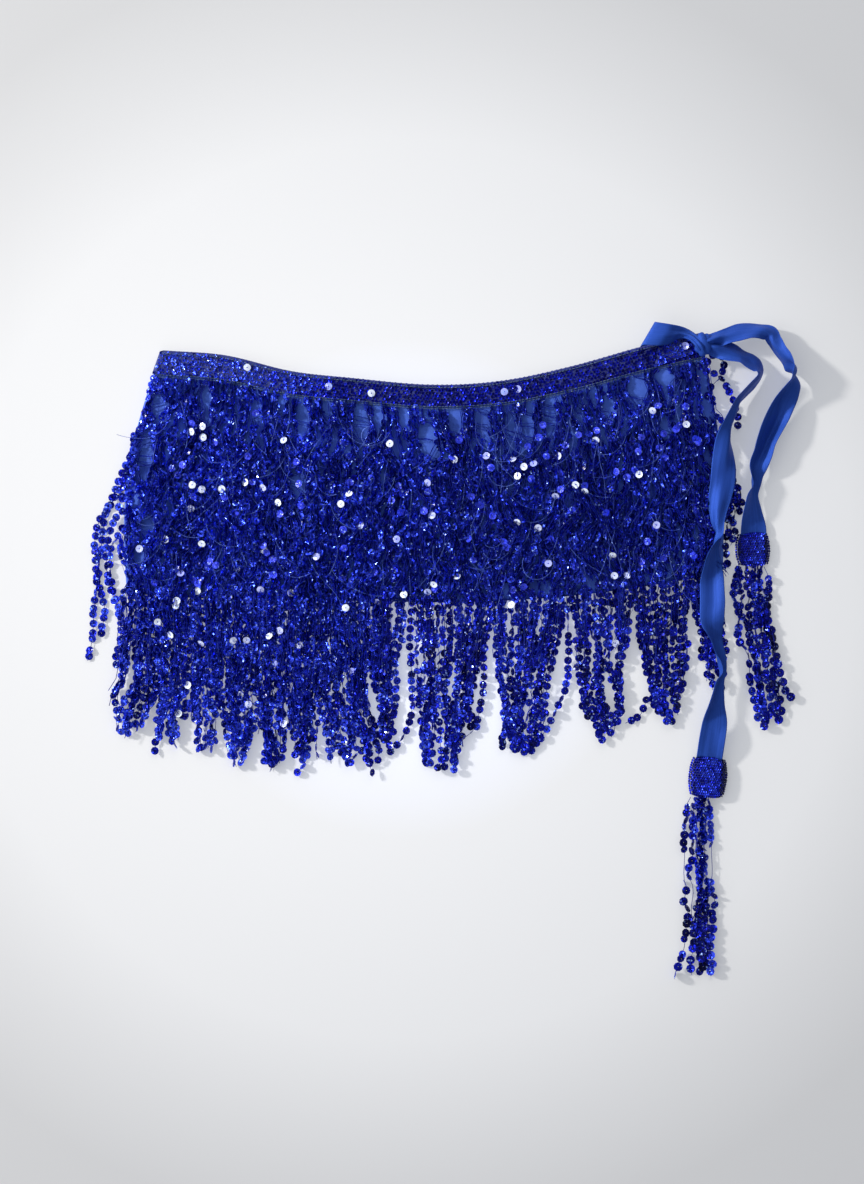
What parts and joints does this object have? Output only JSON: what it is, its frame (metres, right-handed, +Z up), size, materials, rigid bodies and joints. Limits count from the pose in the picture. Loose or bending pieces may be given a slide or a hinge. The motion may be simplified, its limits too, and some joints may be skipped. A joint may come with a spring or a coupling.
{
  "type": "belly dance hip scarf",
  "caption": "Hip scarf of base cloth folded in half, with a sequined waistband, four rows of sequin string fringe and a ribbon tie ending in capped tassels.",
  "frame": {"origin": "middle of the garment's footprint on the surface that it lies on", "axes": "+X across the garment from the folded side to the tied side, +Y up towards the waist, +Z up from the surface"},
  "size_m": [0.5695, 0.5248, 0.0218],
  "materials": {
    "base_cloth": "royal blue matt woven base cloth with a slight sheen",
    "sequin_band": "cloth strip closely sewn with small royal blue foil sequins",
    "sequin_strings": "royal blue metallic cup sequins strung on dark blue thread",
    "ribbon_satin": "royal blue satin ribbon, soft sheen",
    "sequin_cap": "padded square closely sewn with small royal blue sequins"
  },
  "bodies": {
    "root": {"wrap_panel": "base_cloth", "waistband": "sequin_band", "band_end": "sequin_band", "fringe_tier_1": "sequin_strings", "fringe_tier_2": "sequin_strings", "fringe_tier_3": "sequin_strings", "fringe_tier_4": "sequin_strings", "back_fringe": "sequin_strings", "tie_loop": "ribbon_satin", "tie_knot": "ribbon_satin", "tie_tail_short": "ribbon_satin", "tie_tail_long": "ribbon_satin", "end_cap_short": "sequin_cap", "end_cap_long": "sequin_cap", "tassel_short": "sequin_strings", "tassel_long": "sequin_strings"}
  },
  "joints": []
}
